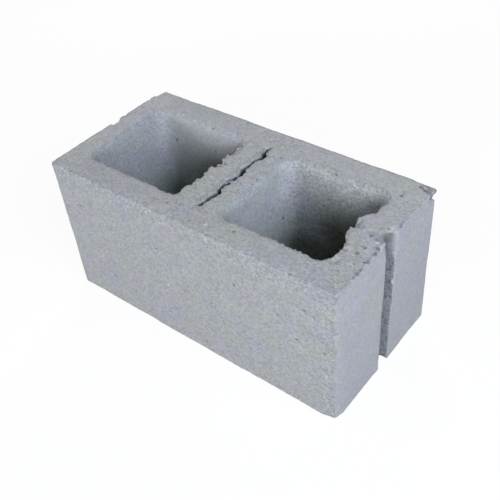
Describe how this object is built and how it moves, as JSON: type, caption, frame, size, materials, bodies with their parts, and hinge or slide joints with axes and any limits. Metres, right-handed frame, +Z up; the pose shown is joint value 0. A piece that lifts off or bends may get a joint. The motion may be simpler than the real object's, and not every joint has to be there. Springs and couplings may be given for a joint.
{
  "type": "hollow concrete block",
  "caption": "Hollow concrete masonry block with open tapered cores, a splitting kerf in its centre web and a sash groove down the middle of its end.",
  "frame": {"origin": "middle of the bottom bed", "axes": "+X along the length to the grooved sash end, +Y from the front face to the back face, +Z up through the top bed"},
  "size_m": [0.39, 0.19, 0.19],
  "materials": {
    "concrete": "bare dry-pressed grey concrete, granular and matt"
  },
  "bodies": {
    "root": {"block": "concrete"}
  },
  "joints": []
}
